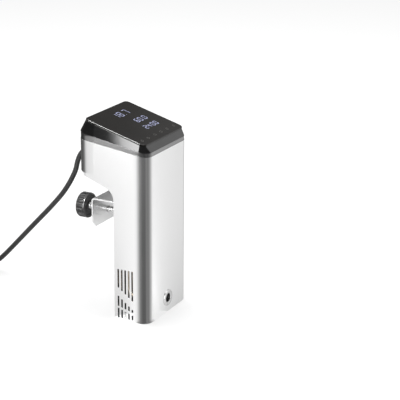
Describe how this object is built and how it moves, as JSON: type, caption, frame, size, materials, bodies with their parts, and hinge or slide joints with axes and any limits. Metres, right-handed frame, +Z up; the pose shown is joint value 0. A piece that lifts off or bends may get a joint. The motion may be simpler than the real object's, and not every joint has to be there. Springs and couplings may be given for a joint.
{
  "type": "sous vide circulator",
  "caption": "Immersion circulator: slotted steel column, overhanging head with sloping glass display, screw clamp for a container's rim, and a mains lead coiled at its end.",
  "frame": {"origin": "centre of the column's flat underside", "axes": "+Z up, -Y out of the front face with the outlet, +Y towards the clamp, the overhanging head's back and the lead, +X to the right as seen from the front"},
  "size_m": [0.183, 0.4334, 0.3095],
  "materials": {
    "steel_sheet": "brushed stainless steel",
    "steel_trim": "satin steel ring",
    "bezel_gloss": "gloss black",
    "dark_glass": "smoked glass, printed black beneath",
    "bright_fasteners": "turned stainless steel",
    "heater_sheath": "drawn tube",
    "knob_metal": "dark satin metallic",
    "black_plastic": "fine satin",
    "pale_plastic": "moulded",
    "rubber": "matte",
    "cord_jacket": "matte jacket",
    "plug_metal": "nickel-plated",
    "board": "solder mask",
    "board_parts": "moulded parts",
    "touch_foil": "printed foil",
    "motor_steel": "plated steel",
    "copper": "wound wire"
  },
  "bodies": {
    "housing": {"front_shell": "steel_sheet", "rear_panel": "steel_sheet", "base_plate": "steel_sheet", "base_screws": "bright_fasteners", "trim_ring": "steel_trim", "bezel": "bezel_gloss", "glass_gasket": "rubber", "display_glass": "dark_glass", "touch_strip": "touch_foil", "display_module": "board_parts", "control_board": "board", "power_board": "board", "board_parts": "board_parts", "bulkhead": "black_plastic", "bulkhead_seal": "rubber", "shaft_seal": "rubber", "motor_mount": "motor_steel", "motor_can": "motor_steel", "motor_stator": "copper", "lower_bearing": "bright_fasteners", "upper_bearing": "bright_fasteners", "heater_element": "heater_sheath", "temperature_probe": "bright_fasteners", "level_pins": "bright_fasteners", "pump_housing": "black_plastic", "pump_cover": "black_plastic", "outlet_nozzle": "steel_sheet", "bracket": "steel_sheet", "bracket_screws": "bright_fasteners", "jaw_pad": "rubber", "clamp_nut": "steel_sheet", "cord_gland": "black_plastic", "gland_nut": "black_plastic", "strain_relief": "rubber", "cord_lead": "cord_jacket", "cord_coil": "cord_jacket", "cord_tail": "cord_jacket", "cord_tie": "black_plastic", "plug_body": "black_plastic", "plug_pins": "plug_metal"},
    "rotor": {"rotor_shaft": "bright_fasteners", "impeller": "pale_plastic", "motor_rotor": "motor_steel", "cooling_fan": "black_plastic"},
    "pressure_pad": {"pressure_plate": "steel_sheet", "pressure_pad": "rubber"},
    "clamp_screw": {"clamp_screw": "bright_fasteners", "knob": "knob_metal", "knob_insert": "black_plastic", "knob_cap": "black_plastic"}
  },
  "joints": [
    {"name": "pump_spin", "type": "hinge", "parent": "housing", "child": "rotor", "pos_m": [0.015, 0.001, 0.023], "axis": [0, 0, 1], "continuous": true},
    {"name": "pad_slide", "type": "slide", "parent": "housing", "child": "pressure_pad", "axis": [0, -1, 0], "range_m": [-0.012, 0.014]},
    {"name": "knob_turn", "type": "hinge", "parent": "pressure_pad", "child": "clamp_screw", "pos_m": [0, 0.108, 0.151], "axis": [0, -1, 0], "range_deg": [-2150, 2510]}
  ],
  "couplings": [
    {"joint": "pad_slide", "follows": "knob_turn", "m_per_rad": 0.00031831}
  ]
}
